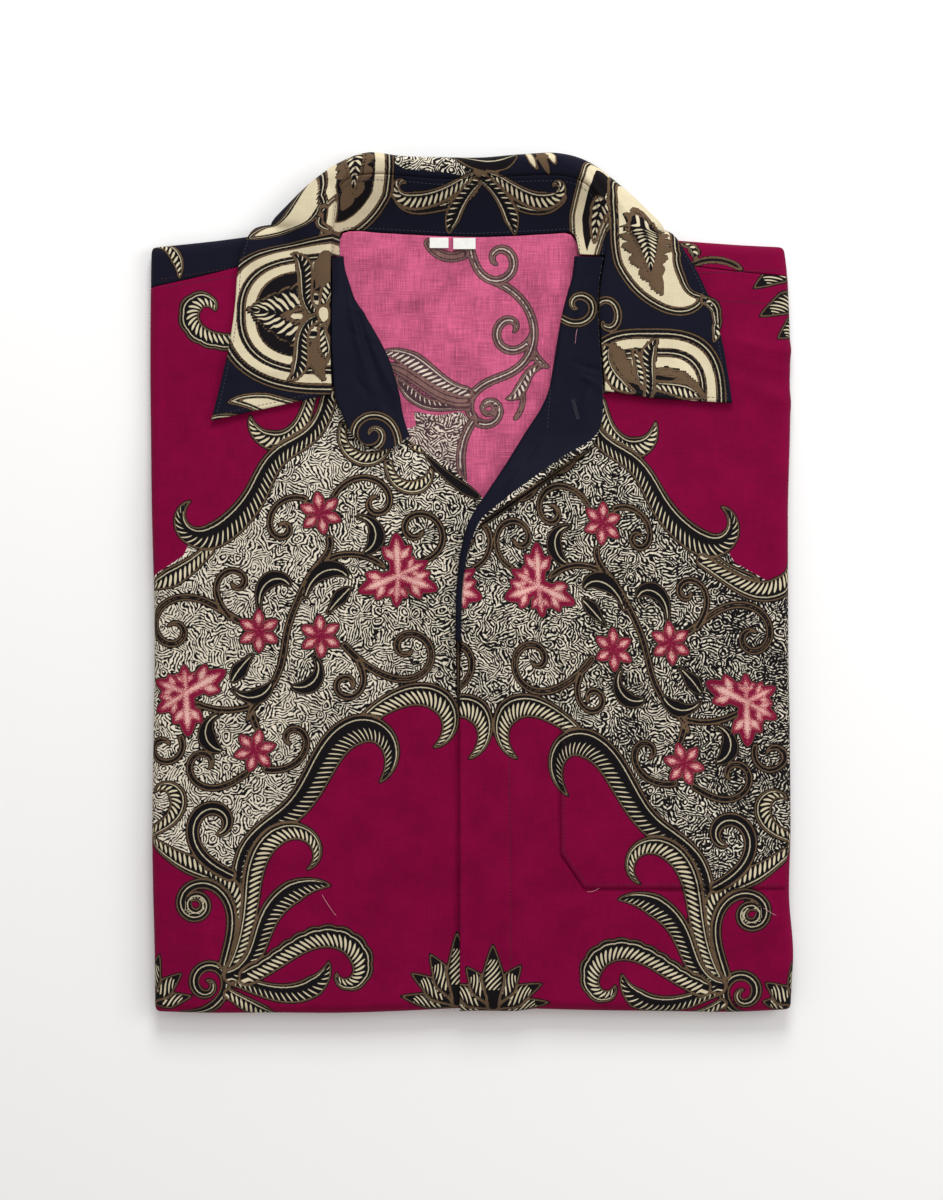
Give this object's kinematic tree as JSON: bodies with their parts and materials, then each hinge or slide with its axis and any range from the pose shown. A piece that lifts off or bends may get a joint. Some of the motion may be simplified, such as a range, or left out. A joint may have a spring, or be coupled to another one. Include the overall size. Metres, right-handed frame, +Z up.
{
  "type": "folded batik shirt",
  "caption": "Collared batik shirt folded flat, front up: crimson and navy leaf print, turned-out lapels at an open neck, fly front and chest pocket.",
  "frame": {"origin": "middle of the box round the folded shirt, on the surface that it lies on", "axes": "+Z up from the surface through the front of the shirt, +Y from the lower fold towards the collar, +X towards the wearer's left, where the pocket is"},
  "size_m": [0.3706, 0.4954, 0.0253],
  "materials": {
    "crimson_cloth": "matt printed cotton",
    "navy_cloth": "matt printed cotton",
    "pink_inside": "matt cotton, wrong side of the print",
    "collar_cloth": "matt printed cotton, stiffened",
    "label_tape": "woven tape"
  },
  "bodies": {
    "root": {"folded_layers": "crimson_cloth", "back_panel": "pink_inside", "front_right": "crimson_cloth", "front_left": "crimson_cloth", "yoke": "navy_cloth", "pocket": "crimson_cloth", "facing_right": "navy_cloth", "facing_left": "navy_cloth", "collar_stand": "navy_cloth", "collar_leaf": "collar_cloth", "label_size": "label_tape", "label_fibre": "label_tape"}
  },
  "joints": []
}
